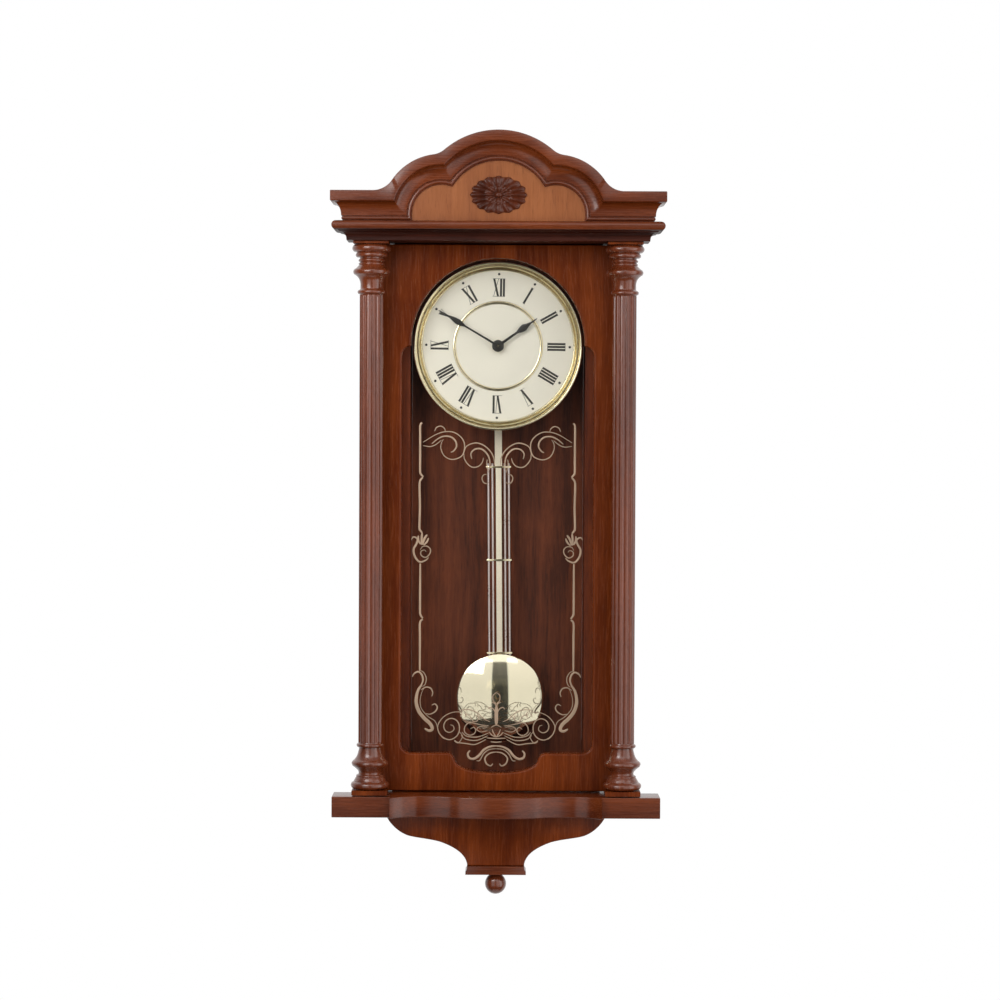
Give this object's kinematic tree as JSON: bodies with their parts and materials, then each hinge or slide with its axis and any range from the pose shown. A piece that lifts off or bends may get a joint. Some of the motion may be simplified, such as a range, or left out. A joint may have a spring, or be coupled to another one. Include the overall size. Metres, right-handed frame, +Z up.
{
  "type": "pendulum wall clock",
  "caption": "Pendulum wall clock: arched crown, glazed hinged door carrying turned columns, Roman dial, grid-iron pendulum, serpentine shelf, shaped apron and ball finial.",
  "frame": {"origin": "centre of the hanging rail's back face, on the wall plane and the clock's centre line", "axes": "+Z up, +Y into the wall, +X to the right of a person who faces the dial; the dial faces -Y"},
  "size_m": [0.352, 0.1673, 0.8089],
  "materials": {
    "case_wood": "satin lacquer, warm cherry brown, grain upright on the front",
    "panel_wood": "satin lacquer, lighter cherry veneer",
    "turned_wood": "gloss lacquer, dark reddish brown",
    "inner_wood": "matt, dark brown",
    "brass": "polished, lacquered pale brass",
    "steel": "bright zinc",
    "dial_paint": "matt cream",
    "black_paint": "satin black",
    "black_plastic": "matt black",
    "copper_wire": "enamelled winding",
    "cell_jacket": "plain printed jacket with no marks",
    "glass": "clear"
  },
  "bodies": {
    "case": {"side_board_left": "case_wood", "side_board_right": "case_wood", "top_board": "case_wood", "bottom_board": "case_wood", "back_panel": "inner_wood", "lower_back_rail": "case_wood", "hanging_rail": "case_wood", "hanger_plate": "steel", "crown_panel": "panel_wood", "crown_moulding": "case_wood", "crown_rosette": "turned_wood", "cornice": "case_wood", "shelf": "case_wood", "apron": "case_wood", "apron_foot": "case_wood", "finial": "turned_wood", "hinge_case_leaf_upper": "brass", "hinge_pin_upper": "brass", "hinge_case_leaf_lower": "brass", "hinge_pin_lower": "brass", "magnet_catch": "black_plastic", "dial_board": "inner_wood", "dial_plate": "dial_paint", "bezel": "brass", "chapter_ring": "brass", "movement_case": "black_plastic", "movement_cover": "black_plastic", "fixing_nut": "brass", "drive_coil": "copper_wire"},
    "door": {"door_top_rail": "case_wood", "door_bottom_rail": "case_wood", "door_stile_left": "case_wood", "door_stile_right": "case_wood", "glass_pane": "glass", "glass_bead_left": "case_wood", "glass_bead_right": "case_wood", "glass_bead_top": "case_wood", "glass_bead_bottom": "case_wood", "column_left": "turned_wood", "column_base_block_left": "case_wood", "column_cap_block_left": "case_wood", "column_right": "turned_wood", "column_base_block_right": "case_wood", "column_cap_block_right": "case_wood", "hinge_door_leaf_upper": "brass", "hinge_door_leaf_lower": "brass", "strike_plate": "steel"},
    "minute": {"minute_arbor": "brass", "minute_hand": "black_paint", "hand_nut": "black_paint"},
    "hour": {"hour_wheel": "brass", "hour_hand": "black_paint"},
    "setting": {"setting_wheel": "black_plastic"},
    "pendulum": {"pendulum_lever": "steel", "pendulum_grid": "brass", "pendulum_bob": "brass"},
    "rating": {"rating_nut": "brass"},
    "battery": {"battery_cell": "cell_jacket"}
  },
  "joints": [
    {"name": "door_hinge", "type": "hinge", "parent": "case", "child": "door", "pos_m": [0.1147, -0.083, 0], "axis": [0, 0, 1], "range_deg": [0, 90]},
    {"name": "minute_turn", "type": "hinge", "parent": "case", "child": "minute", "pos_m": [0, -0.08, -0.084], "axis": [0, 1, 0], "continuous": true},
    {"name": "hour_turn", "type": "hinge", "parent": "case", "child": "hour", "pos_m": [0, -0.08, -0.084], "axis": [0, 1, 0], "continuous": true},
    {"name": "setting_turn", "type": "hinge", "parent": "case", "child": "setting", "pos_m": [0, -0.04, -0.096], "axis": [0, 1, 0], "continuous": true},
    {"name": "pendulum_swing", "type": "hinge", "parent": "case", "child": "pendulum", "pos_m": [0, -0.049, -0.11], "axis": [0, 1, 0], "range_deg": [-4.4, 5.6]},
    {"name": "rating_nut_turn", "type": "hinge", "parent": "pendulum", "child": "rating", "pos_m": [0.00415, -0.049, -0.50618], "axis": [-0.0105, 0, 0.9999], "range_deg": [-720, 720]},
    {"name": "battery_slide", "type": "slide", "parent": "case", "child": "battery", "axis": [0, 0, -1], "range_m": [0, 0.055]}
  ],
  "couplings": [
    {"joint": "hour_turn", "follows": "minute_turn", "ratio": 0.083333},
    {"joint": "setting_turn", "follows": "minute_turn", "ratio": -0.33333}
  ]
}
